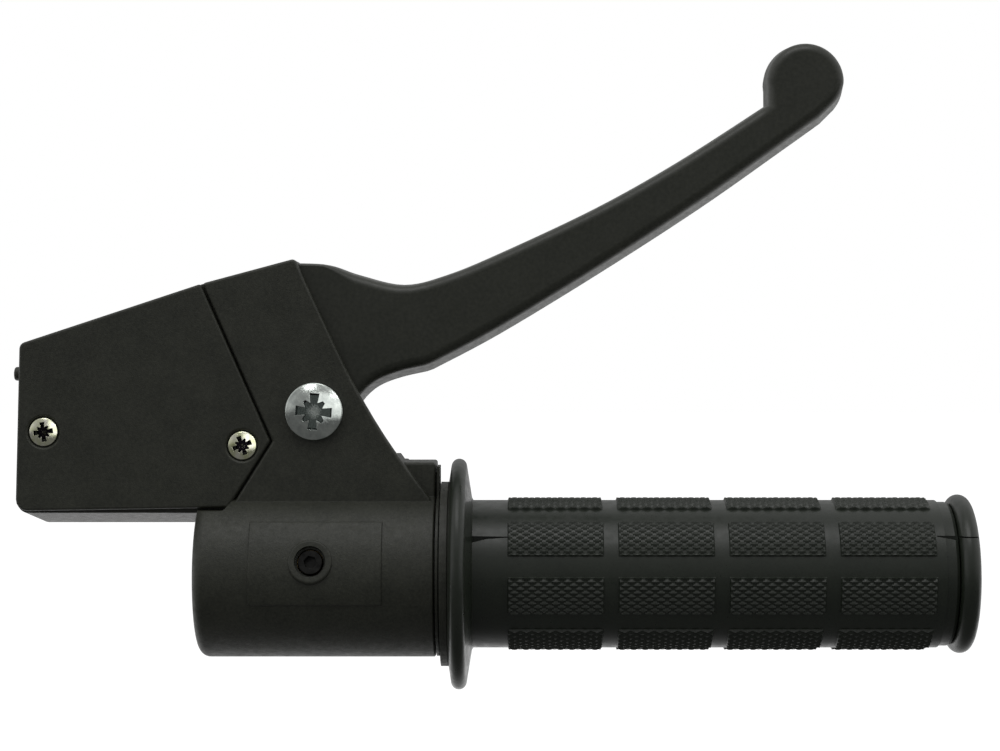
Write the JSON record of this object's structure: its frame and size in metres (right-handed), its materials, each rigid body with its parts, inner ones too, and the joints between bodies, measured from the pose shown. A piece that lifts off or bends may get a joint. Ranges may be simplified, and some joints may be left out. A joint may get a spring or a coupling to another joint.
{
  "type": "throttle grip",
  "caption": "Right-hand twist throttle: pad-textured rubber grip on a spiral-drive tube, in a clamp housing that also carries a hinged brake lever.",
  "frame": {"origin": "on the handlebar's axis, where the handlebar ends, at the inner face of the grip's closed end", "axes": "+X along the handlebar towards its free end, +Z from the handlebar towards the brake lever (forward on the vehicle), +Y away from the cover and screw heads (down on the vehicle)"},
  "size_m": [0.2074, 0.05, 0.1402],
  "materials": {
    "housing_nylon": "fine-grained moulded black nylon",
    "lever_plastic": "smooth satin black",
    "grip_rubber": "satin black rubber, knurled pads",
    "bright_zinc": "bright zinc plate",
    "yellow_zinc": "pale yellow zinc plate",
    "black_steel": "black oxide",
    "insert_brass": "machined",
    "slider_acetal": "natural moulded acetal"
  },
  "bodies": {
    "housing": {"housing": "housing_nylon", "cable_cover": "housing_nylon", "cover_screw_left": "yellow_zinc", "cover_screw_right": "yellow_zinc", "pivot_bush": "bright_zinc", "pivot_screw": "bright_zinc", "pivot_lock_washer": "bright_zinc", "pivot_nut": "bright_zinc", "clamp_set_screw": "black_steel", "clamp_thread_insert": "insert_brass", "end_washer": "housing_nylon"},
    "twist_grip": {"twist_tube": "housing_nylon", "grip_rubber": "grip_rubber"},
    "throttle_slider": {"throttle_slider": "slider_acetal"},
    "brake_lever": {"brake_lever": "lever_plastic"}
  },
  "joints": [
    {"name": "throttle_twist", "type": "hinge", "parent": "housing", "child": "twist_grip", "pos_m": [0, 0, 0], "axis": [1, 0, 0], "range_deg": [0, 85], "stiffness_Nm_per_rad": 0.03, "springref_deg": -57.3},
    {"name": "throttle_slide", "type": "slide", "parent": "housing", "child": "throttle_slider", "axis": [1, 0, 0], "range_m": [0, 0.0141]},
    {"name": "brake_lever_pivot", "type": "hinge", "parent": "housing", "child": "brake_lever", "pos_m": [-0.1382, 0, 0.0354], "axis": [0, 1, 0], "range_deg": [0, 28], "stiffness_Nm_per_rad": 0.25, "springref_deg": -34.38}
  ],
  "couplings": [
    {"joint": "throttle_slide", "follows": "throttle_twist", "m_per_rad": 0.0094369}
  ]
}
